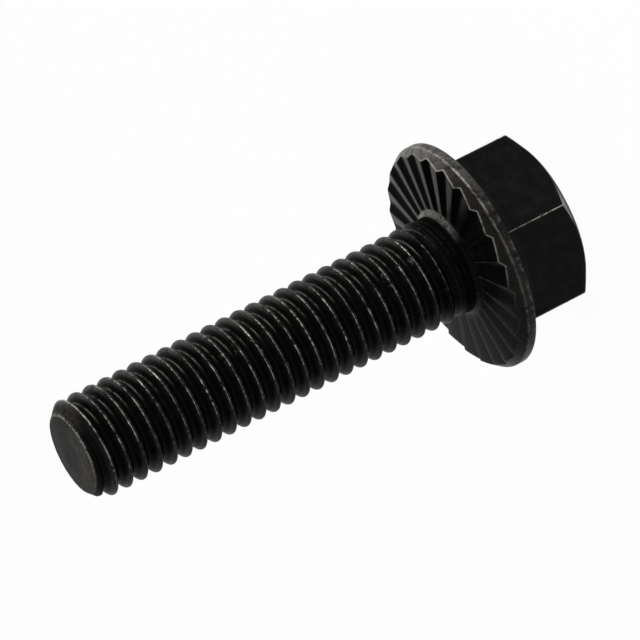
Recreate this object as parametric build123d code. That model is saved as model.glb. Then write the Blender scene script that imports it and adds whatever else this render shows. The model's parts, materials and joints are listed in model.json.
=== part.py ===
from build123d import *
from math import ceil, cos, floor, radians, sin, tan
import os

# A serrated hexagon flange bolt, forged and rolled as one piece. It stands on the flat top of its head, at
# z = 0. Z runs up the shank along the bolt's axis, and two flats of the hexagon face +X and -X. Lengths are
# in millimetres and angles in degrees. The seat is where the line of the bearing face meets the axis.

# Head
flat_count = 6
across_flats = 12.87
corner_radius = 0.15
head_height = 7.97             # from the flat top to the seat
head_top_diameter = 12.25      # the flat circle inside the chamfer
head_chamfer_angle = 35.0      # up from the flat top

# Flange
flange_diameter = 17.75
bearing_angle = 1.25           # fall of the bearing face from the shank outwards
rim_chamfer_width = 0.625      # from the side of the rim in to the bearing face
rim_chamfer_angle = 54.0
rim_height = 0.65              # of the plain side of the rim
rim_radius = 0.18
flange_back_angle = 25.0       # of the cone from the rim to the hexagon

# Serrations, pressed into the bearing face: a gentle ramp one way and a steep face the other
serration_count = 24
serration_depth = 0.26         # from ridge to valley, at the reference diameter
serration_reference_diameter = 15.0
serration_sink = 0.04          # of the ridges below the smooth bearing face
serration_steep_angle = 3.0    # taken up by each steep face, round the axis
serration_phase = 4.2          # of the first ridge, round the axis from +X
serration_inner_diameter = 8.5

# Shank and its right-hand thread
shank_length = 32.2            # from the seat to the point
thread_diameter = 7.8          # over the crests
thread_pitch = 1.25
thread_depth = 0.67            # from crest to root
thread_flank_angle = 30.0      # of each flank from the plane across the axis
thread_root_width = 0.3
thread_start_angle = 233.0     # where a crest would run out of the end of the shank, round from +X
neck_diameter = 7.66
neck_length = 0.95             # plain, from the seat to the thread
neck_fillet = 0.3
runout_length = 1.7            # over which the thread's groove fades into the neck
point_diameter = 6.25
point_angle = 45.0

# Worked out from the sizes above
seat = head_height
tip = seat + shank_length
flange_radius = flange_diameter / 2
crest_radius = thread_diameter / 2
root_radius = crest_radius - thread_depth
neck_radius = neck_diameter / 2
bearing_radius = flange_radius - rim_chamfer_width
bearing_slope = tan(radians(bearing_angle))
bearing_end = seat - bearing_radius * bearing_slope
rim_front = bearing_end - rim_chamfer_width * tan(radians(rim_chamfer_angle))
rim_back = rim_front - rim_height

full_turn = 360.0
longest_length = 0.8           # of a piece of the run-out, in turns
clear = 1.0                    # by which a cutting shape runs past the surface that it has to pass


def on_circle(radius, angle, height=0.0):
    """The point at a radius, an angle round the axis and a height."""
    return (radius * cos(radians(angle)), radius * sin(radians(angle)), height)


def turned(*outline):
    """The solid turned about Z from a closed outline of (radius, height) points."""
    return revolve(make_face(Polyline([(r, 0, z) for r, z in outline], close=True)), Axis.Z)


# ---------------------------------------------------------------- head and flange


def hexagon():
    """The hexagon of the head, with rounded corners and a chamfered flat top."""
    half_flat_angle = full_turn / flat_count / 2
    past_corner = across_flats / 2 / cos(radians(half_flat_angle)) + clear
    outline = RegularPolygon(across_flats / 2, flat_count, major_radius=False, rotation=half_flat_angle)
    prism = extrude(fillet(outline.vertices(), corner_radius), rim_back)
    top_radius = head_top_diameter / 2
    chamfered = turned(
        (0, 0),
        (top_radius, 0),
        (past_corner, (past_corner - top_radius) * tan(radians(head_chamfer_angle))),
        (past_corner, seat),
        (0, seat),
    )
    return prism & chamfered


def flange_blank():
    """The flange and neck before they are serrated: a coned back, a chamfered rim and a filleted root."""
    blank = turned(
        (0, seat + neck_length),
        (neck_radius, seat + neck_length),
        (neck_radius, seat - neck_radius * bearing_slope),
        (bearing_radius, bearing_end),
        (flange_radius, rim_front),
        (flange_radius, rim_back),
        (0, rim_back - flange_radius * tan(radians(flange_back_angle))),
    )
    circles = blank.edges().filter_by(GeomType.CIRCLE)
    rims = [circle for circle in circles if circle.radius > flange_radius - rim_chamfer_width / 2]
    blank = fillet(rims, rim_radius)
    root = blank.edges().filter_by(GeomType.CIRCLE).sort_by(Axis.Z)[-2]
    return fillet(root, neck_fillet)


def serration_die():
    """The die that presses the serrations: flat facets that fan out from one point on the axis."""
    reach = flange_radius + clear
    ridge_height = seat - serration_sink - reach * bearing_slope
    valley_height = ridge_height - reach * serration_depth / (serration_reference_diameter / 2)
    edge = []
    for tooth in range(serration_count):
        ridge_angle = serration_phase + tooth * full_turn / serration_count
        edge.append(on_circle(reach, ridge_angle - serration_steep_angle, valley_height))
        edge.append(on_circle(reach, ridge_angle, ridge_height))
    edge.append(edge[0])
    centre = (0, 0, seat - serration_sink)
    lid = [(x, y, seat + clear) for x, y, _ in edge]
    faces = [Face(Wire.make_polygon(lid[:-1], close=True))]
    for near, far, far_lid, near_lid in zip(edge, edge[1:], lid[1:], lid):
        faces.append(Face(Wire.make_polygon([centre, near, far], close=True)))
        faces.append(Face(Wire.make_polygon([near, far, far_lid, near_lid], close=True)))
    hole = Cylinder(serration_inner_diameter / 2, tip)
    return Solid(Shell(faces)) - hole


# ---------------------------------------------------------------- shank


def thread_profile():
    """One pitch of the thread in the XZ plane, as (radius, height) corners: root, crest, crest, next root."""
    flank = thread_depth * tan(radians(thread_flank_angle))
    crest_width = thread_pitch - thread_root_width - 2 * flank
    return [
        (root_radius, -crest_width / 2 - flank),
        (crest_radius, -crest_width / 2),
        (crest_radius, crest_width / 2),
        (root_radius, crest_width / 2 + flank),
    ]


def screw_end(turn_height, helix):
    """The two faces that close the thread at the start of a turn: a helicoid and one pitch of the profile."""
    profile = thread_profile()
    low = turn_height + profile[0][1]
    high = low + thread_pitch
    helicoid = Face.make_surface_from_curves(helix, Edge.make_line((0, 0, low), (0, 0, high)))
    corners = [(radius, 0, turn_height + height) for radius, height in profile]
    corners = [(0, 0, low), *corners, (root_radius, 0, high), (0, 0, high)]
    return [helicoid, Face(Wire.make_polygon(corners, close=True))]


def threaded_length(start, end):
    """A right-hand screw at full depth that runs past two heights, sewn from helical strips."""
    crest_height = tip - thread_pitch * thread_start_angle / full_turn
    first = crest_height + thread_pitch * floor((start - crest_height) / thread_pitch - 1)
    turns = ceil((end - first) / thread_pitch) + 1
    turn_heights = [first + turn * thread_pitch for turn in range(turns + 1)]
    helices = [
        Edge.make_helix(thread_pitch, thread_pitch, radius, center=(0, 0, turn_height + height))
        for turn_height in turn_heights
        for radius, height in thread_profile()
    ]
    strips = len(thread_profile()) * turns
    faces = [Face.make_surface_from_curves(low, high) for low, high in zip(helices[:strips], helices[1:])]
    faces += screw_end(turn_heights[0], helices[0])
    faces += screw_end(turn_heights[-1], helices[strips])
    return Solid(Shell(faces))


def runout(start):
    """The stretch beside the neck where the groove grows to its full depth, in lengths of under a turn."""
    end = start + runout_length
    filling = turned((0, start), (neck_radius, start), (root_radius, end), (0, end))
    lengths = ceil(runout_length / (thread_pitch * longest_length))
    step = runout_length / lengths
    stretch = Part()
    for index in range(lengths):
        low = start + index * step
        layer = Pos(0, 0, low + step / 2) * Cylinder(crest_radius + clear, step)
        stretch += (threaded_length(low, low + step) & layer) + (filling & layer)
    return stretch


def shank():
    """The threaded shank above the neck, up to its chamfered point."""
    start = seat + neck_length
    full_thread = start + runout_length
    point_radius = point_diameter / 2
    past_crest = crest_radius + clear
    envelope = turned(
        (0, full_thread),
        (past_crest, full_thread),
        (past_crest, tip - (past_crest - point_radius) / tan(radians(point_angle))),
        (point_radius, tip),
        (0, tip),
    )
    return runout(start) + (threaded_length(full_thread, tip) & envelope)


def bolt():
    """The whole bolt as one solid."""
    return hexagon() + flange_blank() - serration_die() + shank()


# ---------------------------------------------------------------- the written part

os.makedirs("parts", exist_ok=True)
export_step(bolt(), "parts/flange_bolt.step")
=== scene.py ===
import json
import logging
import math
from dataclasses import dataclass, field
from enum import Enum
from functools import reduce
from typing import Any

import bmesh
import bpy
import numpy as np
from mathutils import Matrix, Vector


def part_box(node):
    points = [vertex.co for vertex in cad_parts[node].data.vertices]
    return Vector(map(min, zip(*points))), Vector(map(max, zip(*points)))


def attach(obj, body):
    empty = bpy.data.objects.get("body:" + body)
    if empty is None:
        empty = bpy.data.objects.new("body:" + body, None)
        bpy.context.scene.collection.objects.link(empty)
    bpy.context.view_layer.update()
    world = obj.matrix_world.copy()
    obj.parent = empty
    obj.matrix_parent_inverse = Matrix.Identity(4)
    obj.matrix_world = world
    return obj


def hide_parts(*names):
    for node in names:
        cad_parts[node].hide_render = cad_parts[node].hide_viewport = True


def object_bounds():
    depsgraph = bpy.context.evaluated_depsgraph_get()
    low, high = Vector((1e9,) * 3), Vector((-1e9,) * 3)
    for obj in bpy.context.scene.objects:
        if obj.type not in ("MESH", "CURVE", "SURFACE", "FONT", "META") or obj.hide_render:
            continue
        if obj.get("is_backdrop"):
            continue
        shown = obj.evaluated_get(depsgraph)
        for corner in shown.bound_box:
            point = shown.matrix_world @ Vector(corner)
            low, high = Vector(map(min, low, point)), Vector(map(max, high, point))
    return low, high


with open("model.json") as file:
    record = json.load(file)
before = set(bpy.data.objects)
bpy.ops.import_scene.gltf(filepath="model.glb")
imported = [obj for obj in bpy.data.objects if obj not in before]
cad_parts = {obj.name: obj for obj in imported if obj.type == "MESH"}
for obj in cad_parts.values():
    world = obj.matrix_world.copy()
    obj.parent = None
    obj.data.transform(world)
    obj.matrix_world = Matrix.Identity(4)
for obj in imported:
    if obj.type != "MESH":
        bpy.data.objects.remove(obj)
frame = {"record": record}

# The looks of a black serrated flange bolt. Its sizes are in millimetres and degrees, as on its drawing, and
# its mesh is in metres. The bolt stands on the flat top of its head, with Z up its axis.

LOG = logging.getLogger("flange_bolt")
MM = 0.001
FULL_TURN = 360.0
Colour = tuple[float, float, float]
Shares = tuple[float, ...]
Point = tuple[float, float]


class Layout(Enum):
    """How a row of points is spread round the bolt's axis."""

    EVEN = "even"
    HEX = "hex"        # close together at the corners of the hexagon
    TOOTH = "tooth"    # close together at the ridges of the serrations


class Rule(Enum):
    """The two shapes that a geometry tree makes."""

    TURNED = "turned"
    THREAD = "thread"


# ---------------------------------------------------------------- nodes as expressions


class Value:
    """A socket on which sums are written as plain expressions."""

    def __init__(self, bench: "Bench", socket: bpy.types.NodeSocket) -> None:
        """Wraps an output socket, with the bench that adds nodes to its tree."""
        self.bench = bench
        self.socket = socket

    def maths(self, operation: str, *others: "Value | float") -> "Value":
        """The result of a Math node whose first value is this one."""
        return self.bench.maths(operation, self, *others)

    def __add__(self, other: "Value | float") -> "Value":
        """The sum."""
        return self.maths("ADD", other)

    def __sub__(self, other: "Value | float") -> "Value":
        """The difference."""
        return self.maths("SUBTRACT", other)

    def __rsub__(self, other: float) -> "Value":
        """A number less this value."""
        return self.bench.maths("SUBTRACT", other, self)

    def __mul__(self, other: "Value | float") -> "Value":
        """The product."""
        return self.maths("MULTIPLY", other)

    def __truediv__(self, other: "Value | float") -> "Value":
        """The quotient."""
        return self.maths("DIVIDE", other)

    def __rtruediv__(self, other: float) -> "Value":
        """A number divided by this value."""
        return self.bench.maths("DIVIDE", other, self)

    def __abs__(self) -> "Value":
        """The size without its sign."""
        return self.maths("ABSOLUTE")

    def __lt__(self, other: "Value | float") -> "Value":
        """1 where this value is the smaller, and 0 elsewhere."""
        return self.maths("LESS_THAN", other)

    __radd__ = __add__
    __rmul__ = __mul__

    def at_least(self, other: "Value | float") -> "Value":
        """The greater of the two."""
        return self.maths("MAXIMUM", other)

    def at_most(self, other: "Value | float") -> "Value":
        """The smaller of the two."""
        return self.maths("MINIMUM", other)

    def rise(self, low: float, high: float) -> "Value":
        """A smooth step from 0 at one value to 1 at the other, which is the smaller for a step down."""
        ends = {"Value": self, "From Min": low, "From Max": high}
        return self.bench.node("ShaderNodeMapRange", {"interpolation_type": "SMOOTHSTEP"}, ends)

    def line(self, centre: float, width: float, soft: float) -> "Value":
        """1 on a line of a width round a value, and 0 beyond its soft edges."""
        return abs(self - centre).rise(width / 2 + soft, width / 2)

    def blend(self, low: "Value | float", high: "Value | float") -> "Value":
        """Goes from one value to another as this one goes from 0 to 1."""
        return low + self * (high - low)


class Bench:
    """Adds nodes to one tree."""

    def __init__(self, tree: bpy.types.NodeTree) -> None:
        """Takes the shader tree or geometry tree to work on."""
        self.tree = tree

    @classmethod
    def cleared(cls, owner: bpy.types.Material | bpy.types.World) -> "Bench":
        """Gives a material or a world an empty tree.

        Args:
            owner: The material or world.

        Returns:
            The bench for its tree.
        """
        owner.use_nodes = True
        owner.node_tree.nodes.clear()
        return cls(owner.node_tree)

    def node(
        self,
        kind: str,
        settings: dict[str, Any] | None = None,
        inputs: dict[str | int, Any] | None = None,
        output: str | int = 0,
    ) -> Value | None:
        """Adds any node.

        Args:
            kind: The node's type.
            settings: Its properties, which are set first.
            inputs: A value or number for each socket, by its name or place.
            output: The name or place of the output that is wanted.

        Returns:
            The wanted output, or nothing from a node that ends its tree.
        """
        made = self.tree.nodes.new(kind)
        for name, setting in (settings or {}).items():
            setattr(made, name, setting)
        for key, value in (inputs or {}).items():
            if isinstance(value, Value):
                self.tree.links.new(value.socket, made.inputs[key])
            else:
                made.inputs[key].default_value = value
        return Value(self, made.outputs[output]) if len(made.outputs) else None

    def maths(self, operation: str, *values: Value | float) -> Value:
        """The result of a Math node, from the values of its sockets in order."""
        return self.node("ShaderNodeMath", {"operation": operation}, dict(enumerate(values)))

    def mixed_colour(self, factor: Value, low: Any, high: Any) -> Value:
        """Goes from one colour to another, each a value or plain numbers, as the factor goes from 0 to 1."""
        first, second = (c if isinstance(c, Value) else (*c, 1.0) for c in (low, high))
        return self.node("ShaderNodeMix", {"data_type": "RGBA"}, {0: factor, 6: first, 7: second}, 2)

    def noise(self, place: Value, scale: float, detail: float = 2.0, roughness: float = 0.5) -> Value:
        """A noise of about 0.5 on average, whose scale is the bumps to the unit of place."""
        sockets = {"Vector": place, "Scale": scale, "Detail": detail, "Roughness": roughness}
        return self.node("ShaderNodeTexNoise", {}, sockets, "Fac")


def placed(name: str, data: bpy.types.ID) -> bpy.types.Object:
    """Adds an object to the scene.

    Args:
        name: The object's name.
        data: Its mesh, lamp or camera.

    Returns:
        The object.
    """
    made = bpy.data.objects.new(name, data)
    bpy.context.scene.collection.objects.link(made)
    return made


# ---------------------------------------------------------------- sizes that the CAD part sets


@dataclass(frozen=True)
class BoltSizes:
    """The bolt's sizes: the first six come from the CAD part, and the rest are the drawing's own."""

    seat: float
    tip: float
    flange_radius: float
    half_flats: float
    neck_radius: float
    neck_end: float
    pitch: float = 1.25
    crest_radius: float = 3.9
    thread_depth: float = 0.67
    flank_angle: float = 30.0
    root_width: float = 0.3
    crest_angle: float = 233.0
    runout: float = 1.7
    point_radius: float = 3.125
    neck_fillet: float = 0.3
    top_radius: float = 6.125
    top_chamfer: float = 35.0
    corner_radius: float = 0.15
    bearing_angle: float = 1.25
    rim_chamfer: float = 54.0
    rim_chamfer_width: float = 0.625
    rim_height: float = 0.65
    rim_radius: float = 0.18
    back_angle: float = 25.0
    flats: int = 6
    teeth: int = 24
    tooth_depth: float = 0.26
    tooth_depth_radius: float = 7.5
    tooth_sink: float = 0.04
    tooth_steep: float = 3.0
    tooth_phase: float = 4.2
    tooth_inner_radius: float = 4.25

    @classmethod
    def from_frame(cls, record: dict[str, Any]) -> "BoltSizes":
        """Reads what the CAD part sets.

        Args:
            record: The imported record, with its mounts.

        Returns:
            The sizes.
        """
        low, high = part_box("flange_bolt")
        mounts = {mount["name"]: mount for mount in record["mounts"]}
        neck = mounts["neck"]
        return cls(
            seat=mounts["bearing_face"]["pos_m"][2] / MM,
            tip=high.z / MM,
            flange_radius=(high.x - low.x) / 2 / MM,
            half_flats=mounts["wrench_flat"]["pos_m"][0] / MM,
            neck_radius=neck["dims"]["r_mm"],
            neck_end=neck["pos_m"][2] / MM + neck["dims"]["length_mm"] / 2,
        )

    @property
    def hex_reach(self) -> float:
        """Distance from the axis to a sharp corner of the hexagon."""
        return self.half_flats / math.cos(math.pi / self.flats)

    @property
    def bearing_radius(self) -> float:
        """Radius at which the bearing face ends at the rim's chamfer."""
        return self.flange_radius - self.rim_chamfer_width

    @property
    def bearing_slope(self) -> float:
        """Fall of the bearing face for each millimetre outwards."""
        return math.tan(math.radians(self.bearing_angle))

    @property
    def chamfer_slope(self) -> float:
        """Fall of the rim's chamfer for each millimetre outwards."""
        return math.tan(math.radians(self.rim_chamfer))

    @property
    def chamfer_height(self) -> float:
        """Height at which the line of the rim's chamfer meets the axis."""
        fall = self.bearing_radius * self.bearing_slope
        return self.seat - fall + self.bearing_radius * self.chamfer_slope

    @property
    def rim_front(self) -> float:
        """Height of the corner between the rim's chamfer and its side."""
        return self.chamfer_height - self.flange_radius * self.chamfer_slope

    @property
    def rim_back(self) -> float:
        """Height of the corner between the rim's side and its back."""
        return self.rim_front - self.rim_height

    @property
    def crest_height(self) -> float:
        """Height of a crest's middle on the +X side of the axis, just under the point."""
        return self.tip - self.pitch * self.crest_angle / FULL_TURN


# ---------------------------------------------------------------- outlines


def rounded_corner(before: Point, corner: Point, after: Point, radius: float, steps: int) -> list[Point]:
    """The arc that rounds a corner of an outline.

    Args:
        before: A point on the line into the corner.
        corner: The corner.
        after: A point on the line out of it.
        radius: The arc's radius.
        steps: How many pieces the arc has.

    Returns:
        The arc's points, from the first line to the second.
    """
    middle = Vector(corner)
    into = (Vector(before) - middle).normalized()
    out = (Vector(after) - middle).normalized()
    half = into.angle(out) / 2
    centre = middle + (into + out).normalized() * radius / math.sin(half)
    start = middle + into * radius / math.tan(half) - centre
    end = middle + out * radius / math.tan(half) - centre
    sweep = math.pi - 2 * half
    points = []
    for step in range(steps + 1):
        share = step / steps
        ahead = (start * math.sin((1 - share) * sweep) + end * math.sin(share * sweep)) / math.sin(sweep)
        points.append(tuple(centre + ahead))
    return points


@dataclass
class Row:
    """A ring of points round the axis.

    Its radius goes towards the hexagon by `hex_share`, and towards the serrations' outer ends by
    `tooth_share`. Its height is `height` plus `slope` times the radius reached, less the serrations where
    `tooth` is 1. Its columns go from the even layout towards the other two by their own shares.
    """

    radius: float
    height: float
    slope: float = 0.0
    hex_share: float = 0.0
    tooth_share: float = 0.0
    tooth: float = 0.0
    hex_layout: float = 0.0
    tooth_layout: float = 0.0


@dataclass
class Lattice:
    """Points in rows and columns with faces between them, which a geometry tree puts in their places."""

    values: dict[str, np.ndarray]
    ring: bool = False

    def made(self, name: str) -> bpy.types.Object:
        """Builds the lattice as an object whose points carry the named values.

        Args:
            name: The object's name.

        Returns:
            The object, with all its points still at the origin.
        """
        rows, columns = next(iter(self.values.values())).shape
        last = columns if self.ring else columns - 1
        row, column = np.meshgrid(np.arange(rows - 1), np.arange(last), indexing="ij")
        beside = (column + 1) % columns
        near, far = row * columns, (row + 1) * columns
        faces = np.stack([near + column, near + beside, far + beside, far + column], axis=-1).reshape(-1, 4)
        mesh = bpy.data.meshes.new(name)
        mesh.from_pydata(np.zeros((rows * columns, 3)), [], faces.tolist())
        for title, numbers in self.values.items():
            attribute = mesh.attributes.new(title, "FLOAT", "POINT")
            attribute.data.foreach_set("value", np.ascontiguousarray(numbers, np.float32).ravel())
        return placed(name, mesh)


# ---------------------------------------------------------------- geometry trees


@dataclass
class FormTree:
    """A geometry tree that gives a lattice its places by a rule, from named sizes in millimetres."""

    rule: Rule
    sizes: dict[str, float]
    inputs: dict[str, str] = field(default_factory=dict)

    def applied(self, lattice: bpy.types.Object, material: bpy.types.Material) -> bpy.types.Mesh:
        """Runs the tree on a lattice.

        Args:
            lattice: The lattice's object, which is deleted.
            material: The finish that the tree sets.

        Returns:
            The plain mesh.
        """
        tree = self.tree(material)
        modifier = lattice.modifiers.new(self.rule.value, "NODES")
        modifier.node_group = tree
        for name, size in self.sizes.items():
            modifier[self.inputs[name]] = size
        shown = lattice.evaluated_get(bpy.context.evaluated_depsgraph_get())
        mesh = bpy.data.meshes.new_from_object(shown)
        plain = lattice.data
        bpy.data.objects.remove(lattice)
        bpy.data.meshes.remove(plain)
        return mesh

    def tree(self, material: bpy.types.Material) -> bpy.types.NodeTree:
        """Builds the tree.

        Args:
            material: The finish to set.

        Returns:
            The geometry node group.
        """
        tree = bpy.data.node_groups.new(f"{self.rule.value}_form", "GeometryNodeTree")
        tree.interface.new_socket("Geometry", in_out="INPUT", socket_type="NodeSocketGeometry")
        tree.interface.new_socket("Geometry", in_out="OUTPUT", socket_type="NodeSocketGeometry")
        for name in self.sizes:
            socket = tree.interface.new_socket(name, in_out="INPUT", socket_type="NodeSocketFloat")
            self.inputs[name] = socket.identifier
        bench = Bench(tree)
        size = {name: bench.node("NodeGroupInput", output=name) for name in self.sizes}
        rule = self.turned if self.rule is Rule.TURNED else self.thread
        radius, height, angle = rule(bench, size)
        turn = angle.maths("RADIANS")
        across = radius * MM
        axes = {"X": turn.maths("COSINE") * across, "Y": turn.maths("SINE") * across, "Z": height * MM}
        place = bench.node("ShaderNodeCombineXYZ", {}, axes)
        shape = bench.node("NodeGroupInput", output="Geometry")
        shape = bench.node("GeometryNodeSetPosition", {}, {"Geometry": shape, "Position": place})
        shape = bench.node("GeometryNodeRealizeInstances", {}, {"Geometry": shape})
        shape = bench.node("GeometryNodeSetMaterial", {}, {"Geometry": shape, "Material": material})
        bench.node("NodeGroupOutput", {}, {"Geometry": shape})
        return tree

    @staticmethod
    def named(bench: Bench, name: str) -> Value:
        """A value that the lattice's points carry."""
        settings = {"data_type": "FLOAT"}
        return bench.node("GeometryNodeInputNamedAttribute", settings, {"Name": name}, "Attribute")

    def turned(self, bench: Bench, size: dict[str, Value]) -> tuple[Value, Value, Value]:
        """The rule for the head, the flange and the end of the point.

        Args:
            bench: The tree's bench.
            size: The tree's inputs.

        Returns:
            Each point's radius, height and angle.
        """
        point = {name: self.named(bench, name) for name in Row.__dataclass_fields__}
        even, hexed, toothed = (self.named(bench, f"{layout.value}_angle") for layout in Layout)
        angle = even + point["hex_layout"] * (hexed - even) + point["tooth_layout"] * (toothed - even)
        cell = FULL_TURN / size["Flats"]
        side = angle / cell + 0.5
        off_flat = abs(side - side.maths("FLOOR") - 0.5) * cell
        flat = size["Half Flats"] / off_flat.maths("RADIANS").maths("COSINE")
        off_corner = (cell / 2 - off_flat).maths("RADIANS")
        corner = size["Corner Radius"]
        reach = (size["Half Flats"] - corner) / (cell / 2).maths("RADIANS").maths("COSINE")
        beside = reach * off_corner.maths("SINE")
        inside = (corner * corner - beside * beside).at_least(0.0)
        arc = reach * off_corner.maths("COSINE") + inside.maths("SQRT")
        on_arc = beside < corner / 2
        hexagon = on_arc.blend(flat, arc)
        tooth_cell = FULL_TURN / size["Teeth"]
        tooth = (angle - size["Tooth Phase"]) / tooth_cell
        past_ridge = (tooth - tooth.maths("FLOOR")) * tooth_cell
        ramp = past_ridge / (tooth_cell - size["Tooth Steep"])
        drop = ramp.at_most((tooth_cell - past_ridge) / size["Tooth Steep"]) * size["Tooth Slope"]
        ends = size["Tooth End"] / (size["Chamfer Slope"] - size["Bearing Slope"] - drop)
        plain = point["radius"]
        radius = plain + point["hex_share"] * (hexagon - plain) + point["tooth_share"] * (ends - plain)
        height = point["height"] + point["slope"] * radius - point["tooth"] * drop * radius
        return radius, height, angle

    def thread(self, bench: Bench, size: dict[str, Value]) -> tuple[Value, Value, Value]:
        """The rule for the thread: a strip that climbs one pitch a turn, cut by its run-out and by the point.

        Args:
            bench: The tree's bench.
            size: The tree's inputs.

        Returns:
            Each point's radius, height and angle.
        """
        turns = self.named(bench, "turns")
        height = size["First Height"] + size["Pitch"] * turns + self.named(bench, "along")
        below = height < size["Start"]
        share = ((height - size["Start"]) / size["Run-out"]).at_least(0.0).at_most(1.0)
        filling = share.blend(size["Neck Radius"], size["Root Radius"])
        point = size["Point Radius"] + (size["Tip"] - height)
        radius = self.named(bench, "radius").at_least(filling).at_most(point).at_least(size["Point Radius"])
        radius = below.blend(radius, size["Neck Radius"])
        height = height.at_least(size["Start"]).at_most(size["Tip"])
        return radius, height, size["First Angle"] + FULL_TURN * turns


# ---------------------------------------------------------------- the bolt's sub-assemblies


@dataclass
class Columns:
    """The angles of the points round the axis in each layout, as many in one as in another.

    There are `to_flat` columns to each flat, and `ridge_places` are the columns of one serration, in degrees
    from its ridge.
    """

    sizes: BoltSizes
    to_flat: int = 24
    ridge_places: Shares = (-6.0, -3.3, -2.7, -0.22, 0.28, 4.2)

    @property
    def count(self) -> int:
        """How many columns there are."""
        return self.to_flat * self.sizes.flats

    @property
    def first(self) -> float:
        """The angle of the first column, which is a corner of the hexagon."""
        return -FULL_TURN / self.sizes.flats / 2

    def even(self) -> np.ndarray:
        """Angles at equal steps."""
        return self.first + FULL_TURN * np.arange(self.count) / self.count

    def hexed(self) -> np.ndarray:
        """Angles that crowd towards the hexagon's corners."""
        cell = FULL_TURN / self.sizes.flats
        place = np.arange(self.count) % self.to_flat / (self.to_flat / 2) - 1
        off_flat = np.sign(place) * cell / 2 * (1 - (1 - np.abs(place)) ** 2)
        return self.first + cell / 2 + cell * (np.arange(self.count) // self.to_flat) + off_flat

    def toothed(self) -> np.ndarray:
        """Angles that crowd towards the serrations' ridges and valleys."""
        cell = FULL_TURN / self.sizes.teeth
        each = len(self.ridge_places)
        middle = self.first + cell / 2
        ridge = self.sizes.tooth_phase + cell * math.floor((middle - self.sizes.tooth_phase) / cell)
        places = np.tile(self.ridge_places, self.sizes.teeth)
        return ridge + cell * (np.arange(self.count) // each) + places

    def angles(self) -> dict[str, np.ndarray]:
        """The angles of every layout, by the name of the layout's value."""
        made = {Layout.EVEN: self.even(), Layout.HEX: self.hexed(), Layout.TOOTH: self.toothed()}
        return {f"{layout.value}_angle": angles for layout, angles in made.items()}


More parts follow.
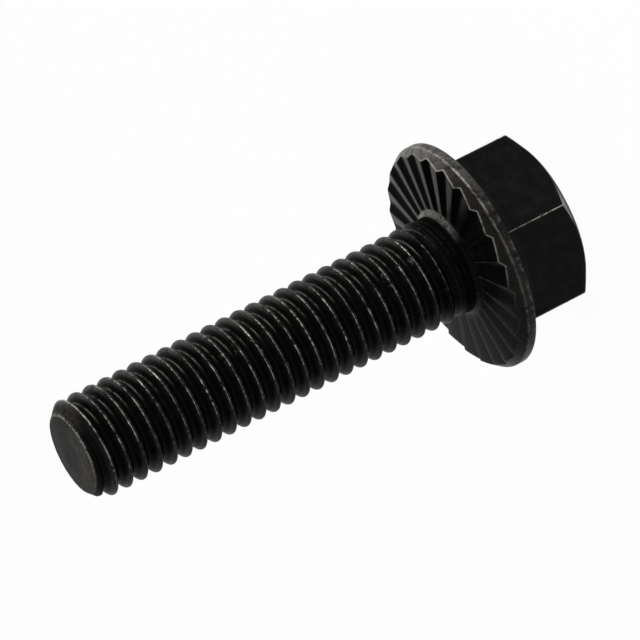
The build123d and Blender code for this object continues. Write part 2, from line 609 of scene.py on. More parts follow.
@dataclass
class Head:
    """The hexagon, the serrated flange and the neck, turned as one surface, and the flat end of the point.

    The shares say how far along each stretch of the outline its rows lie, and the steps how many pieces an
    arc has. A row lies each edge length from a corner, to keep it crisp.
    """

    sizes: BoltSizes
    columns: Columns
    edge: float = 0.04
    point_edge: float = 0.05
    chamfer_shares: Shares = (0.06, 0.3, 0.6, 0.95)
    flat_shares: Shares = (0.012, 0.1, 0.35, 0.65, 0.9, 0.988)
    cone_shares: Shares = (0.03, 0.3, 0.6, 0.85)
    land_shares: Shares = (0.3, 0.6, 0.85, 0.97)
    tooth_shares: Shares = (0.985, 0.9, 0.7, 0.5, 0.3, 0.12, 0.0)
    rim_steps: int = 4
    fillet_steps: int = 5

    def hexagon_rows(self) -> list[Row]:
        """Rows over the flat top, its chamfer and the six flats, as far as the cone behind the flange."""
        s = self.sizes
        chamfer = math.tan(math.radians(s.top_chamfer))
        chamfer_base = -s.top_radius * chamfer
        flat_radii = (0.0, s.top_radius / 2, s.top_radius - self.edge)
        rows = [Row(radius, 0.0, hex_layout=1.0) for radius in flat_radii]
        for share in self.chamfer_shares:
            rows.append(Row(s.top_radius, chamfer_base, chamfer, hex_share=share, hex_layout=1.0))
        for share in self.flat_shares:
            base = chamfer_base + share * (self.cone_base - chamfer_base)
            slope = chamfer + share * (self.cone_slope - chamfer)
            rows.append(Row(s.top_radius, base, slope, hex_share=1.0, hex_layout=1.0))
        return rows

    @property
    def cone_slope(self) -> float:
        """Rise of the cone behind the flange for each millimetre outwards."""
        return math.tan(math.radians(self.sizes.back_angle))

    @property
    def cone_base(self) -> float:
        """Height at which the line of that cone meets the axis."""
        return self.sizes.rim_back - self.sizes.flange_radius * self.cone_slope

    def rim_rows(self) -> list[Row]:
        """Rows over the cone, the rounded rim and its chamfer, as far as the serrations."""
        s = self.sizes
        back, front = (s.flange_radius, s.rim_back), (s.flange_radius, s.rim_front)
        inner_back = (s.bearing_radius, self.cone_base + s.bearing_radius * self.cone_slope)
        inner_front = (s.bearing_radius, s.chamfer_height - s.bearing_radius * s.chamfer_slope)
        arc = rounded_corner(inner_back, back, front, s.rim_radius, self.rim_steps)
        side = rounded_corner(back, front, inner_front, s.rim_radius, self.rim_steps)
        rows = []
        for share in self.cone_shares:
            hexed = {"hex_share": 1 - share, "hex_layout": 1 - share / 2}
            rows.append(Row(arc[0][0], self.cone_base, self.cone_slope, **hexed))
        middle = ((back[0] + front[0]) / 2, (back[1] + front[1]) / 2)
        outline = arc + [middle] + side
        for step, (radius, height) in enumerate(outline):
            share = step / len(outline)
            rows.append(Row(radius, height, hex_layout=(1 - share) / 2, tooth_layout=share))
        for share in self.land_shares:
            toothed = {"tooth_share": share, "tooth_layout": 1.0}
            rows.append(Row(side[-1][0], s.chamfer_height, -s.chamfer_slope, **toothed))
        return rows

    def bearing_rows(self) -> list[Row]:
        """Rows over the serrations, the smooth ring inside them and the neck."""
        s = self.sizes
        rows = []
        for share in self.tooth_shares:
            toothed = {"tooth_share": share, "tooth": 1.0, "tooth_layout": 1.0}
            rows.append(Row(s.tooth_inner_radius, s.seat - s.tooth_sink, -s.bearing_slope, **toothed))
        inner = s.tooth_inner_radius - self.edge
        rows.append(Row(inner, s.seat, -s.bearing_slope, tooth_layout=0.9))
        root = (s.neck_radius, s.seat - s.neck_radius * s.bearing_slope)
        ring = (s.tooth_inner_radius, s.seat - s.tooth_inner_radius * s.bearing_slope)
        fillet = rounded_corner(ring, root, (s.neck_radius, s.neck_end), s.neck_fillet, self.fillet_steps)
        for step, (radius, height) in enumerate(fillet):
            rows.append(Row(radius, height, tooth_layout=0.8 * (1 - step / self.fillet_steps)))
        middle = (fillet[-1][1] + s.neck_end) / 2
        rows += [Row(s.neck_radius, height) for height in (middle, s.neck_end)]
        return rows

    def point_rows(self) -> list[Row]:
        """Rows over the flat end of the point."""
        s = self.sizes
        flat_radii = (s.point_radius - self.point_edge, s.point_radius / 2, 0.0)
        edge = Row(s.point_radius, s.tip - self.point_edge)
        return [edge] + [Row(radius, s.tip) for radius in flat_radii]

    def lattice(self, rows: list[Row]) -> Lattice:
        """Lays out the rows.

        Args:
            rows: The rows, from one end of the outline to the other.

        Returns:
            The lattice, with the values that the turned rule reads.
        """
        whole = (len(rows), self.columns.count)
        values = {}
        for name in Row.__dataclass_fields__:
            column = np.array([getattr(row, name) for row in rows])[:, None]
            values[name] = np.broadcast_to(column, whole)
        for name, angles in self.columns.angles().items():
            values[name] = np.broadcast_to(angles[None, :], whole)
        return Lattice(values, ring=True)

    def meshes(self, material: bpy.types.Material) -> list[bpy.types.Mesh]:
        """Builds the head with its neck, and the end of the point.

        Args:
            material: The bolt's finish.

        Returns:
            The two meshes, open towards the thread.
        """
        s = self.sizes
        tree_sizes = {
            "Flats": float(s.flats),
            "Half Flats": s.half_flats,
            "Corner Radius": s.corner_radius,
            "Teeth": float(s.teeth),
            "Tooth Phase": s.tooth_phase,
            "Tooth Steep": s.tooth_steep,
            "Tooth Slope": s.tooth_depth / s.tooth_depth_radius,
            "Tooth End": s.chamfer_height - s.seat + s.tooth_sink,
            "Chamfer Slope": s.chamfer_slope,
            "Bearing Slope": s.bearing_slope,
        }
        head_rows = self.hexagon_rows() + self.rim_rows() + self.bearing_rows()
        lattices = (
            self.lattice(head_rows).made("head_form"),
            self.lattice(self.point_rows()).made("point_form"),
        )
        return [FormTree(Rule.TURNED, tree_sizes).applied(lattice, material) for lattice in lattices]


@dataclass
class Thread:
    """The right-hand thread: one strip with rounded crests and roots that climbs from neck to point."""

    sizes: BoltSizes
    columns: Columns
    crest_steps: int = 4
    flank_steps: int = 3
    root_steps: int = 4

    def profile(self) -> list[Point]:
        """One pitch of the outline, from the middle of a root to the next, as (along, radius) points."""
        s = self.sizes
        root_radius = s.crest_radius - s.thread_depth
        flank = s.thread_depth * math.tan(math.radians(s.flank_angle))
        half_crest = s.pitch / 2 - s.root_width / 2 - flank
        crest = self.full_round(half_crest, s.crest_radius, -1.0, self.crest_steps // 2)
        root = self.full_round(s.root_width / 2, root_radius, 1.0, self.root_steps // 2)
        climb = [(along - s.pitch / 2, radius) for along, radius in root]
        top = [(-along, radius) for along, radius in reversed(crest)]
        foot, head = Vector(climb[-1]), Vector(top[0])
        steps = (foot.lerp(head, step / self.flank_steps) for step in range(1, self.flank_steps))
        half = climb + [tuple(point) for point in steps] + top
        return half + [(-along, radius) for along, radius in reversed(half[:-1])]

    def full_round(self, half_width: float, top: float, side: float, steps: int) -> list[Point]:
        """Half of the arc that rounds a flat from flank to flank.

        Args:
            half_width: Half the width of the flat that the arc takes the place of.
            top: The radius of the flat.
            side: -1 for a crest, whose arc bends inwards, and 1 for a root.
            steps: How many pieces the half arc has.

        Returns:
            Its points as (along, radius), from the flat's middle to a flank.
        """
        lean = math.radians(self.sizes.flank_angle)
        size = half_width / math.tan(lean)
        turns = [(math.pi / 2 - lean) * step / steps for step in range(steps + 1)]
        return [(size * math.sin(turn), top + side * size * (1 - math.cos(turn))) for turn in turns]

    def mesh(self, material: bpy.types.Material) -> bpy.types.Mesh:
        """Builds the thread.

        Args:
            material: The bolt's finish.

        Returns:
            The mesh, open at the neck and at the point.
        """
        s = self.sizes
        outline = self.profile()
        crest = s.crest_height + s.pitch * self.columns.first / FULL_TURN
        first = crest - s.pitch * math.ceil((crest - s.neck_end) / s.pitch + 0.5)
        turns = math.ceil((s.tip - first) / s.pitch + 0.5)
        steps = np.arange(turns * self.columns.count + 1) / self.columns.count
        shape = (len(steps), len(outline))
        values = {
            "turns": np.broadcast_to(steps[:, None], shape),
            "along": np.broadcast_to(np.array([along for along, _ in outline])[None, :], shape),
            "radius": np.broadcast_to(np.array([radius for _, radius in outline])[None, :], shape),
        }
        tree_sizes = {
            "First Height": first,
            "First Angle": self.columns.first,
            "Pitch": s.pitch,
            "Start": s.neck_end,
            "Run-out": s.runout,
            "Neck Radius": s.neck_radius,
            "Root Radius": s.crest_radius - s.thread_depth,
            "Point Radius": s.point_radius,
            "Tip": s.tip - Head.point_edge,
        }
        return FormTree(Rule.THREAD, tree_sizes).applied(Lattice(values).made("thread_form"), material)


@dataclass
class Bolt:
    """The whole bolt as one closed piece."""

    sizes: BoltSizes
    weld: float = 0.002

    def made(self, finish: "BlackSteel") -> bpy.types.Object:
        """Builds the bolt and puts it in the place of the CAD node.

        Args:
            finish: The bolt's finish.

        Returns:
            The finished piece.
        """
        material = finish.material(self.sizes)
        columns = Columns(self.sizes)
        parts = Head(self.sizes, columns).meshes(material) + [Thread(self.sizes, columns).mesh(material)]
        mesh = self.welded(parts)
        mesh.materials.append(material)
        mesh.shade_smooth()
        bolt = placed("flange_bolt_skin", mesh)
        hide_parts("flange_bolt")
        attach(bolt, "root")
        triangles = sum(len(face.vertices) - 2 for face in mesh.polygons)
        LOG.info("%s: %d triangles", bolt.name, triangles)
        return bolt

    def welded(self, parts: list[bpy.types.Mesh]) -> bpy.types.Mesh:
        """Joins meshes along the edges that they share.

        Args:
            parts: The meshes, which are deleted.

        Returns:
            The closed mesh, without the lattice's values and without a material.
        """
        shape = bmesh.new()
        for part in parts:
            shape.from_mesh(part)
            bpy.data.meshes.remove(part)
        bmesh.ops.remove_doubles(shape, verts=shape.verts, dist=self.weld * MM)
        bmesh.ops.dissolve_degenerate(shape, edges=shape.edges, dist=self.weld * MM / 2)
        bmesh.ops.recalc_face_normals(shape, faces=shape.faces)
        LOG.info("edges not closed: %d", sum(not edge.is_manifold for edge in shape.edges))
        carried = shape.verts.layers.float
        for name in list(carried.keys()):
            carried.remove(carried[name])
        mesh = bpy.data.meshes.new("flange_bolt_skin")
        shape.to_mesh(mesh)
        shape.free()
        mesh.materials.clear()
        return mesh


# ---------------------------------------------------------------- finishes


@dataclass(frozen=True)
class BlackSteel:
    """Black oxide on steel, worn grey on the rim and bright along the edges, with painted sheen and
    highlights on the lit sides and painted shade in grooves and recesses.
    """

    slot: str = "black_steel"
    black: Colour = (0.0070, 0.0063, 0.0057)
    # A darker tone that the mottle mixes in at random, and the matt colour that paints shade and shadow in
    # the grooves and at the feet of the serrations.
    soot: Colour = (0.0020, 0.0018, 0.0017)
    # Grey for worn ground, and for painted sheen on the sides that face the lamps.
    grey: Colour = (0.145, 0.138, 0.130)
    # Bright for worn edges, and for painted highlights where edges face the lamps.
    bright: Colour = (0.38, 0.36, 0.33)
    reflection: float = 0.05
    roughness: float = 0.27
    mottled_roughness: float = 0.22
    worn_roughness: float = 0.10
    worn_metal: float = 0.5
    bump_strength: float = 0.3
    bump_depth: float = 0.03

    def material(self, sizes: BoltSizes) -> bpy.types.Material:
        """Builds the finish.

        Args:
            sizes: The bolt's sizes, which place the worn marks and the painted light and shade.

        Returns:
            The material.
        """
        made = bpy.data.materials.new(self.slot)
        bench = Bench.cleared(made)
        place = bench.node("ShaderNodeTexCoord", output="Object")
        place = bench.node("ShaderNodeVectorMath", {"operation": "SCALE"}, {0: place, "Scale": 1 / MM})
        wear_and_light = WearAndPaintedLight(sizes, bench, place)
        edges = wear_and_light.edges()
        mottle = bench.noise(place, 1.1, 6.0, 0.62)
        base = bench.mixed_colour(mottle.rise(0.35, 0.75), self.soot, self.black)
        # Grey worn ground, with painted sheen on the lit sides.
        base = bench.mixed_colour(wear_and_light.rubbed(), base, self.grey)
        # Bright worn edges, with painted highlights on the lit sides.
        base = bench.mixed_colour(edges, base, self.bright)
        pits = bench.noise(place, 1.7, 5.0, 0.6)
        grain = bench.noise(place, 9.0, 4.0, 0.6)
        relief = {
            "Strength": self.bump_strength,
            "Distance": self.bump_depth * MM,
            "Height": pits * 0.5 + grain * 0.2,
        }
        sockets = {
            "Base Color": base,
            "Metallic": self.worn_metal * edges,
            "Roughness": self.roughness + self.mottled_roughness * mottle + self.worn_roughness * edges,
            "Normal": bench.node("ShaderNodeBump", {}, relief, "Normal"),
            "Specular IOR Level": self.reflection,
        }
        steel = bench.node("ShaderNodeBsdfPrincipled", {}, sockets, "BSDF")
        # A matt near-black mixed in where shade and shadow fall: painted shade.
        matt = bench.node("ShaderNodeBsdfDiffuse", {}, {"Color": (*self.soot, 1.0)})
        surface = bench.node("ShaderNodeMixShader", {}, {0: wear_and_light.hollows(), 1: steel, 2: matt})
        bench.node("ShaderNodeOutputMaterial", {}, {"Surface": surface})
        return made


class WearAndPaintedLight:
    """Where the bolt's finish is worn, and where light and shade are painted on it, as masks from 0 to 1
    worked out from the place on the bolt.

    Most masks are weighted with `toward`, which makes them stronger on one side of the axis: there they paint
    sheen and highlights on the lit side, and shade on the other. Azimuths are in degrees round the axis from
    +X, and lengths are in millimetres.
    """

    def __init__(self, sizes: BoltSizes, bench: Bench, place: Value) -> None:
        """Works out the coordinates that the wear is placed by.

        Args:
            sizes: The bolt's sizes.
            bench: The material's bench.
            place: The place in millimetres.
        """
        self.sizes = sizes
        self.bench = bench
        self.place = place
        x, y, self.height = (bench.node("ShaderNodeSeparateXYZ", {}, {0: place}, axis) for axis in "XYZ")
        self.radius = (x * x + y * y).maths("SQRT")
        self.angle = y.maths("ARCTAN2", x).maths("DEGREES")
        self.patches = bench.noise(place, 1.4, 3.0, 0.7)
        self.specks = bench.noise(place, 3.2, 4.0, 0.65)
        self.areas = bench.noise(place, 0.35, 2.0, 0.5)

    def broken(self, low: float, high: float) -> Value:
        """Patches that break up a worn line, from none below one noise to all of it above the other."""
        return (0.5 * self.patches + 0.5 * self.specks).rise(low, high)

    def toward(self, azimuth: float, low: float, high: float) -> Value:
        """The side that faces an azimuth, from 0 at one cosine of the angle off it to 1 at another."""
        return (self.angle - azimuth).maths("RADIANS").maths("COSINE").rise(low, high)

    # -------- distances from the bolt's features

    def off_crest(self, starts: int = 1) -> Value:
        """The distance along the axis from the nearest crest.

        Args:
            starts: How many lines to count to the pitch, where finer rings than the crests are wanted.

        Returns:
            The distance.
        """
        s = self.sizes
        climb = ((self.height - s.crest_height) / s.pitch - self.angle / FULL_TURN) * starts + 0.5
        return (climb - climb.maths("FLOOR") - 0.5) * (s.pitch / starts)

    def past_ridge(self) -> Value:
        """How far round a place lies from a ridge to the next, from 0 to 1, with the ridge at the start."""
        tooth = (self.angle - self.sizes.tooth_phase) / (FULL_TURN / self.sizes.teeth)
        return tooth - tooth.maths("FLOOR")

    def off_ridge(self) -> Value:
        """The distance from the nearest ridge, round the axis.

        Returns:
            The distance.
        """
        cell = FULL_TURN / self.sizes.teeth
        past = self.past_ridge()
        return past.at_most(1.0 - past).maths("RADIANS") * cell * self.radius

    def past_ends(self) -> Value:
        """The distance outwards from where the serrations run out into the rim's chamfer.

        Returns:
            The distance.
        """
        s = self.sizes
        cell = FULL_TURN / s.teeth
        past = self.past_ridge()
        share = (past * (cell / (cell - s.tooth_steep))).at_most((1.0 - past) * (cell / s.tooth_steep))
        drop = share * (s.tooth_depth / s.tooth_depth_radius)
        ends = (s.chamfer_height - s.seat + s.tooth_sink) / (s.chamfer_slope - s.bearing_slope - drop)
        return self.radius - ends

    # -------- places on the bolt

    def in_front(self) -> Value:
        """The front of the flange, above the outer part of its chamfer."""
        return self.height.rise(self.sizes.rim_front + 0.2, self.sizes.rim_front + 0.3)

    def on_bearing(self) -> Value:
        """The serrated ring of the bearing face."""
        inner = self.radius.rise(self.sizes.tooth_inner_radius, self.sizes.tooth_inner_radius + 0.1)
        return inner * self.past_ends().rise(0.03, -0.05) * self.in_front()

    def head_chamfer(self) -> Value:
        """The chamfer of the head's flat top.

        Returns:
            The mask.
        """
        s = self.sizes
        over = self.height - (self.radius - s.top_radius) * math.tan(math.radians(s.top_chamfer))
        return over.line(0.0, 0.03, 0.04) * self.radius.rise(s.top_radius, s.top_radius + 0.08)

    # -------- edges worn bright, with painted highlights on their lit sides

    def crest(self) -> Value:
        """The worn line along the thread's crest, with fainter ones beside it. It is painted brighter as a
        highlight where the crests face the key lamp, and a thin line on one flank on that side is a painted
        reflection.

        Returns:
            The mask.
        """
        s = self.sizes
        off_crest = self.off_crest() + 0.06 * (self.patches - 0.5)
        thick = off_crest.line(0.06, 0.045, 0.035) * self.specks.rise(0.53, 0.62)
        main = off_crest.line(0.05, 0.012, 0.035).at_least(thick) * self.broken(0.40, 0.60)
        main = main * (0.35 + 0.65 * self.areas.rise(0.38, 0.60))
        main = main * (0.12 + 0.88 * self.toward(-72, 0.3, 0.95))
        last = off_crest.line(0.02, 0.03, 0.05) * self.height.rise(s.tip - 1.5, s.tip - 1.35)
        last = last * self.broken(0.38, 0.54) * (0.20 + 0.60 * self.toward(-40, -0.2, 0.8))
        beside = off_crest.line(-0.10, 0.006, 0.03) * self.broken(0.46, 0.64) * 0.4
        crests = main.at_least(last).at_least(beside)
        crests = crests * self.radius.rise(s.crest_radius - 0.20, s.crest_radius - 0.12)
        flank = off_crest.line(0.50, 0.03, 0.06) * self.patches.rise(0.32, 0.55) * 0.42
        flank = flank * self.toward(-32, 0.75, 0.97) * self.height.rise(s.tip - 0.8, s.tip - 1.0)
        return crests.at_least(flank) * self.height.rise(s.neck_end + 0.2, s.neck_end + 0.9)

    def rings(self) -> Value:
        """Fine rings round the neck and the first crests.

        Returns:
            The mask.
        """
        s = self.sizes
        rings = self.off_crest(3).line(0.0, 0.01, 0.05) * self.broken(0.40, 0.62) * 0.14
        rings = rings * self.height.rise(s.neck_end + 1.6, s.neck_end + 0.6)
        return rings * self.height.rise(s.seat + 0.35, s.seat + 0.6)

    def teeth(self) -> Value:
        """The worn ridges of the serrations, brighter on the side that faces the fill lamp as a painted
        highlight.
        """
        ridges = self.off_ridge().line(0.0, 0.02, 0.05) * self.broken(0.40, 0.60) * self.on_bearing()
        return ridges * (0.06 + 0.54 * self.toward(-150, 0.40, 0.90))

    def step(self) -> Value:
        """The worn edge where the serrations run out into the rim's chamfer, brighter round azimuth -66 as a
        painted highlight.

        Returns:
            The mask.
        """
        edge = (self.past_ends() + 0.10 * (self.patches - 0.5)).line(0.02, 0.03, 0.06)
        edge = edge * self.broken(0.34, 0.52) * self.in_front()
        return edge * (0.06 + 0.74 * self.toward(-66, 0.5, 0.92))

    def rim(self) -> Value:
        """The worn corner between the rim's chamfer and its side, brighter on the side that faces the key
        lamp as a painted highlight.

        Returns:
            The mask.
        """
        s = self.sizes
        wander = 0.12 * (self.patches - 0.5)
        corner = (self.height + wander).line(s.rim_front + 0.02, 0.06, 0.10)
        corner = corner * self.radius.rise(s.flange_radius - 0.4, s.flange_radius - 0.2)
        return corner * self.broken(0.36, 0.60) * (0.15 + 0.45 * self.toward(-35, 0.3, 0.95))

    def corners(self) -> Value:
        """The worn corners of the hexagon and their chamfered ends.

        Returns:
            The mask.
        """
        s = self.sizes
        cell = FULL_TURN / s.flats
        side = self.angle / cell
        off_corner = (side - side.maths("FLOOR") - 0.5).maths("RADIANS") * cell * self.radius
        line = off_corner.line(0.0, 0.035, 0.05) * self.broken(0.32, 0.54)
        line = line * self.radius.rise(s.hex_reach - 0.23, s.hex_reach - 0.13)
        line = line * self.height.rise(s.rim_back - 0.2, s.rim_back - 0.5)
        line = line * (0.40 + 0.50 * self.height.rise(s.rim_back - 1.0, 1.5))
        cut = self.head_chamfer() * self.radius.rise(s.hex_reach - 0.83, s.hex_reach - 0.53)
        return line.at_least(cut * self.broken(0.26, 0.50) * 0.55)

    def point(self) -> Value:
        """The worn and chipped edge of the point, brighter on the side that faces the key lamp as a painted
        highlight.

        Returns:
            The mask.
        """
        s = self.sizes
        chips = self.bench.noise(self.place, 6.0, 2.0, 0.5)
        wander = 0.12 * (self.patches - 0.5) + 0.34 * (chips - 0.5)
        ring = (self.radius + wander).line(s.point_radius - 0.03, 0.12, 0.05) * chips.rise(0.34, 0.50)
        ring = ring * self.height.rise(s.tip - 0.3, s.tip - 0.2)
        return ring * (0.30 + 0.70 * self.toward(-30, -0.5, 0.5))

    def root(self) -> Value:
        """The ring round the root of the neck, only on the side that faces the key lamp: dust with a painted
        highlight.

        Returns:
            The mask.
        """
        s = self.sizes
        ring = self.height.line(s.seat + 0.04, 0.2, 0.16) * self.broken(0.36, 0.56)
        ring = ring * self.radius.rise(s.tooth_inner_radius + 0.20, s.tooth_inner_radius - 0.05)
        return ring * self.toward(-5, 0.3, 0.85)

    def nicks(self) -> Value:
        """Nicks across the thread in the two places where the bolt has been knocked.

        Returns:
            The mask.
        """
        s = self.sizes
        marks = self.bench.noise(self.place, 2.4, 4.0, 0.8).rise(0.56, 0.63)
        near = self.height.line(s.tip - 13.9, 2.4, 1.0).at_least(self.height.line(s.tip - 26.8, 3.0, 1.0))
        marks = marks * near * self.toward(-69, 0.93, 0.985)
        return marks * self.radius.rise(s.crest_radius - 0.6, s.crest_radius - 0.1) * 0.3

    def scratches(self) -> Value:
        """Fine specks of bare metal anywhere, and smudges on the shank.

        Returns:
            The mask.
        """
        crest = self.sizes.crest_radius
        fine = self.bench.noise(self.place, 4.0, 2.0, 0.5)
        coarse = self.bench.noise(self.place, 1.3, 7.0, 0.85)
        shank = self.radius.rise(crest - 0.45, crest - 0.15) * self.radius.rise(crest + 0.3, crest + 0.1)
        return (fine.rise(0.71, 0.78) * 0.10).at_least(coarse.rise(0.60, 0.70) * shank * 0.30)

    def edges(self) -> Value:
        """Every bright edge together: worn edges, brighter where painted highlights fall on the lit side.

        Returns:
            The mask.
        """
        thread = (self.crest(), self.rings(), self.nicks(), self.point())
        flange = (self.teeth(), self.step(), self.rim(), 0.45 * self.root())
        return reduce(Value.at_least, (*thread, *flange, self.corners(), self.scratches()))

    # -------- painted shade, and grey ground with painted sheen

    def hollows(self) -> Value:
        """Painted shade and shadow: the thread's grooves, the feet of the serrations and one side of ring and
        neck.

        Returns:
            The mask.
        """
        s = self.sizes
        # Painted shade down in the thread's grooves.
        groove = self.radius.rise(s.crest_radius - 0.12, s.crest_radius - 0.50) * 0.6
        groove = groove * self.height.rise(s.neck_end, s.neck_end + 0.5)
        # Painted shadow over the lower half of each ramp, the steep face and the ridge, stronger round
        # azimuths 0 and -55.
        past = self.past_ridge()
        foot = past.rise(0.48, 0.60).at_least(past.rise(0.06, 0.03)) * self.on_bearing()
        foot = foot * (0.22 + 0.42 * self.toward(0, -0.1, 0.6) + 0.32 * self.toward(-55, 0.75, 0.92))
        # Painted shade over the front of the flange, on the side round azimuth -110.
        ring = self.height.rise(s.rim_front - 0.05, s.rim_front + 0.1) * self.toward(-110, 0.2, 0.8)
        ring = ring * self.radius.rise(s.neck_radius, s.neck_radius + 0.4) * 0.55
        # Painted shade over the neck and the first turns, on the side round azimuth -80.
        neck = self.height.line(s.neck_end + 0.3, 1.9, 0.8) * self.toward(-80, -0.2, 0.6) * 0.75
        return reduce(Value.at_least, (groove, foot, ring, neck))

    def rubbed_flange(self) -> Value:
        """The greyer ground on the flange: the ramps of the serrations, the chamfer, the side and the back.
        The grey on the ramps is painted sheen on the side that faces the key lamp; the chamfer and the side
        are worn grey, made stronger on that side as painted sheen; the back is worn grey.

        Returns:
            The mask.
        """
        s = self.sizes
        land = self.past_ends().rise(-0.02, 0.05) * self.height.rise(s.rim_front - 0.1, s.rim_front + 0.1)
        land = land * self.broken(0.28, 0.58) * (0.14 + 0.84 * self.toward(5, 0.45, 1.0))
        ramp = self.past_ridge().rise(0.56, 0.47) * self.on_bearing() * self.toward(15, 0.2, 0.85) * 0.46
        side = self.radius.rise(s.flange_radius - 0.12, s.flange_radius - 0.04) * self.broken(0.32, 0.60)
        side = side * (0.12 + 0.50 * self.toward(-10, 0.3, 0.95))
        back = self.height.line(s.rim_back + 0.15, 0.1, 0.12) * self.broken(0.46, 0.6) * 0.5
        back = back * self.radius.rise(s.flange_radius - 0.28, s.flange_radius - 0.18)
        return reduce(Value.at_least, (land, ramp, side, back))

    def rubbed_point(self) -> Value:
        """The greyer ground on the end of the point and on its chamfer: the end is worn grey and greyer
        towards azimuth -115 as painted sheen, and the chamfer's grey is painted sheen on the side that faces
        the key lamp.

        Returns:
            The mask.
        """
        s = self.sizes
        end = self.height.rise(s.tip - 0.06, s.tip - 0.02) * self.patches.rise(0.12, 0.62)
        end = end * (0.38 + 0.55 * self.toward(-115, -0.2, 0.9) * self.radius.rise(0.3, 2.2))
        chamfer = self.height.rise(s.tip - 0.8, s.tip - 0.6) * self.broken(0.35, 0.6)
        return end.at_least(chamfer * self.toward(-10, 0.3, 1.0) * 0.4)

    def rubbed(self) -> Value:
        """All the greyer ground, with that on the crests, on the head's chamfer and round the neck's root.
        The grey on the crests lies only on the side that faces the key lamp: painted sheen.

        Returns:
            The mask.
        """
        s = self.sizes
        crests = self.radius.rise(s.crest_radius - 0.40, s.crest_radius - 0.05) * self.toward(0, 0.6, 1.0)
        crests = crests * self.height.rise(s.neck_end + 0.5, s.neck_end + 1.0)
        crests = crests * self.patches.rise(0.25, 0.6) * 0.5
        top = self.head_chamfer() * self.radius.rise(s.hex_reach - 0.68, s.hex_reach - 0.43)
        top = top * self.patches.rise(0.2, 0.6) * 0.9
        found = reduce(Value.at_least, (crests, top, self.root(), self.rubbed_flange(), self.rubbed_point()))
        return found.at_most(1.0)


# ---------------------------------------------------------------- floor, light and camera


@dataclass(frozen=True)
class Lamp:
    """A soft square lamp that faces the bolt, with its lengths in metres."""

    name: str
    direction: tuple[float, float, float]
    distance: float
    side: float
    watts: float

    def hung(self, middle: Vector) -> bpy.types.Object:
        """Hangs the lamp.

        Args:
            middle: The bolt's middle, from which its direction and its distance are taken.

        Returns:
            The lamp.
        """
        data = bpy.data.lights.new(self.name, "AREA")
        data.shape = "SQUARE"
        data.size = self.side
        data.energy = self.watts
        lamp = placed(self.name, data)
        away = Vector(self.direction).normalized()
        turn = away.to_track_quat("Z", "Y").to_matrix().to_4x4()
        lamp.matrix_world = Matrix.Translation(middle + away * self.distance) @ turn
        return lamp


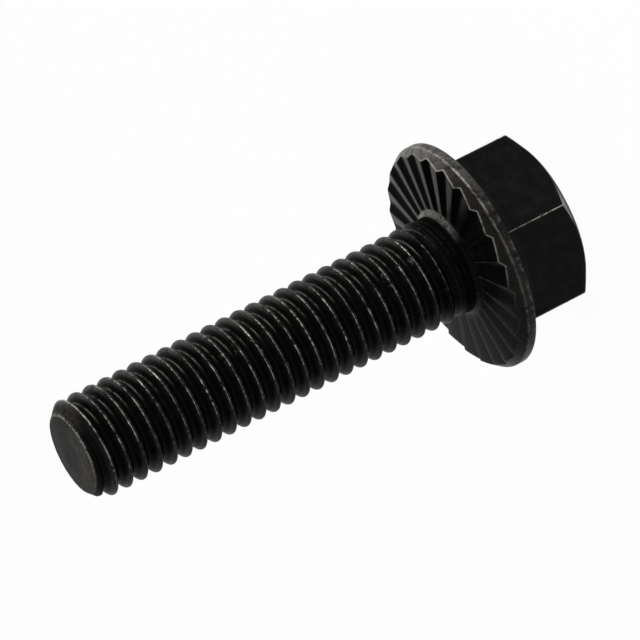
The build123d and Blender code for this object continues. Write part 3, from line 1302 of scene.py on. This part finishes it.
@dataclass(frozen=True)
class Studio:
    """A plain pale floor and a pale room that show as white, with soft lamps. Lengths are in metres."""

    floor_size: float = 4.0
    floor_colour: Colour = (0.97, 0.97, 0.97)
    room_level: float = 0.45
    shown_white: float = 0.965
    lamps: tuple[Lamp, ...] = (
        Lamp("key", direction=(0.95, -0.35, 0.40), distance=0.5, side=0.20, watts=1.5),
        Lamp("fill", direction=(-0.6, -0.8, 0.7), distance=0.6, side=0.40, watts=0.4),
    )

    def made(self, middle: Vector) -> None:
        """Builds the room, the floor and the lamps.

        Args:
            middle: The bolt's middle, which the lamps face.
        """
        self.room()
        self.floor()
        for lamp in self.lamps:
            lamp.hung(middle)

    def shown(self, bench: Bench) -> Value:
        """1 for what the camera, a reflection or a see-through piece shows, and 0 for light that lands."""
        rays = ("Is Camera Ray", "Is Glossy Ray", "Is Transmission Ray")
        return reduce(Value.at_least, (bench.node("ShaderNodeLightPath", output=ray) for ray in rays))

    def room(self) -> None:
        """Lights the scene from a pale room that shows as white."""
        world = bpy.data.worlds.new("room")
        bench = Bench.cleared(world)
        level = self.shown(bench).blend(self.room_level, 1.0)
        light = bench.node("ShaderNodeBackground", {}, {"Color": (1.0, 1.0, 1.0, 1.0), "Strength": level})
        bench.node("ShaderNodeOutputWorld", {}, {"Surface": light})
        bpy.context.scene.world = world

    def floor(self) -> bpy.types.Object:
        """Lays the floor under the bolt.

        Returns:
            The floor.
        """
        half = self.floor_size / 2
        corners = [(-half, -half, 0.0), (half, -half, 0.0), (half, half, 0.0), (-half, half, 0.0)]
        mesh = bpy.data.meshes.new("floor")
        mesh.from_pydata(corners, [], [(0, 1, 2, 3)])
        material = bpy.data.materials.new("pale_floor")
        bench = Bench.cleared(material)
        matt = bench.node("ShaderNodeBsdfDiffuse", {}, {"Color": (*self.floor_colour, 1.0)})
        white = bench.node("ShaderNodeEmission", {}, {"Color": (1.0, 1.0, 1.0, 1.0), "Strength": 1.0})
        share = self.shown(bench) * self.shown_white
        mixed = bench.node("ShaderNodeMixShader", {}, {0: share, 1: matt, 2: white})
        bench.node("ShaderNodeOutputMaterial", {}, {"Surface": mixed})
        mesh.materials.append(material)
        floor = placed("floor", mesh)
        floor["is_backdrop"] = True
        LOG.info("floor: %.1f m square", self.floor_size)
        return floor


@dataclass(frozen=True)
class Viewpoint:
    """A long lens some way off that looks down a little on the bolt, rolled so that the shank leans down.

    It looks at a point `height` millimetres up the axis, moved `right` and `up` in the picture.
    """

    height: float = 23.97
    right: float = 4.047
    up: float = 2.667
    elevation: float = 20.39
    roll: float = -116.96
    distance: float = 0.45
    lens: float = 352.06
    sensor: float = 36.0
    nearest: float = 0.01
    farthest: float = 20.0

    def made(self) -> bpy.types.Object:
        """Builds the camera and makes it the scene's.

        Returns:
            The camera.
        """
        data = bpy.data.cameras.new("camera")
        data.lens = self.lens
        data.sensor_width = self.sensor
        data.clip_start = self.nearest
        data.clip_end = self.farthest
        camera = placed("camera", data)
        tilt = Matrix.Rotation(math.radians(90 - self.elevation), 4, "X")
        turn = tilt @ Matrix.Rotation(math.radians(self.roll), 4, "Z")
        right, up, back = (turn.col[index].to_3d() for index in range(3))
        aim = (Vector((0.0, 0.0, self.height)) + right * self.right + up * self.up) * MM
        camera.matrix_world = Matrix.Translation(aim + back * self.distance) @ turn
        bpy.context.scene.camera = camera
        return camera


def main() -> None:
    """Builds the bolt and its studio."""
    logging.basicConfig(level=logging.INFO, format="%(name)s: %(message)s")
    packed_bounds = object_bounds()
    sizes = BoltSizes.from_frame(frame["record"])
    Bolt(sizes).made(BlackSteel())
    Studio().made(Vector((0.0, 0.0, sizes.tip / 2 * MM)))
    Viewpoint().made()
    bpy.context.scene.view_settings.view_transform = "Standard"
    sides = {"packed": packed_bounds, "shown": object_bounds()}
    for name, corners in sides.items():
        LOG.info("%s box: %s", name, [tuple(round(side, 6) for side in corner) for corner in corners])


if __name__ == "__main__":
    main()
